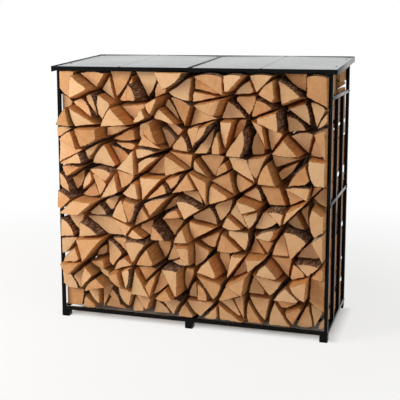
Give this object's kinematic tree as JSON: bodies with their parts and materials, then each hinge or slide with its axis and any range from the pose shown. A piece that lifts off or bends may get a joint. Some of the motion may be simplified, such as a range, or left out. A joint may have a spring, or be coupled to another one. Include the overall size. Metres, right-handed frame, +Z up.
{
  "type": "log store",
  "caption": "Free-standing open-fronted firewood store: black square-tube frame, galvanised lean-to roof, full of split logs.",
  "frame": {"origin": "on the ground, under the middle of the store", "axes": "+X along the front to the right, +Y from the open front to the back, +Z up"},
  "size_m": [1.65, 0.885, 1.547],
  "materials": {
    "black_steel": "satin black powder coat",
    "galvanised_sheet": "dull galvanised sheet",
    "firewood": "sawn ends, split sides and bark"
  },
  "bodies": {
    "root": {"back_base_rail": "black_steel", "back_beam": "black_steel", "back_floor_bar": "black_steel", "back_left_foot": "black_steel", "back_left_post": "black_steel", "back_logs_1": "firewood", "back_logs_2": "firewood", "back_middle_foot": "black_steel", "back_right_foot": "black_steel", "back_right_post": "black_steel", "floor_cross_member": "black_steel", "front_base_rail": "black_steel", "front_beam": "black_steel", "front_floor_bar": "black_steel", "front_left_foot": "black_steel", "front_left_post": "black_steel", "front_logs_1": "firewood", "front_logs_2": "firewood", "front_middle_foot": "black_steel", "front_right_foot": "black_steel", "front_right_post": "black_steel", "left_back_side_bar": "black_steel", "left_base_rail": "black_steel", "left_front_side_bar": "black_steel", "left_middle_rail": "black_steel", "left_roof_bearer": "black_steel", "left_roof_flange": "black_steel", "left_roof_sheet": "galvanised_sheet", "left_upper_rail": "black_steel", "middle_roof_bearer": "black_steel", "right_back_side_bar": "black_steel", "right_base_rail": "black_steel", "right_front_side_bar": "black_steel", "right_middle_rail": "black_steel", "right_roof_bearer": "black_steel", "right_roof_flange": "black_steel", "right_roof_sheet": "galvanised_sheet", "right_upper_rail": "black_steel", "roof_joint_cap": "black_steel"}
  },
  "joints": []
}
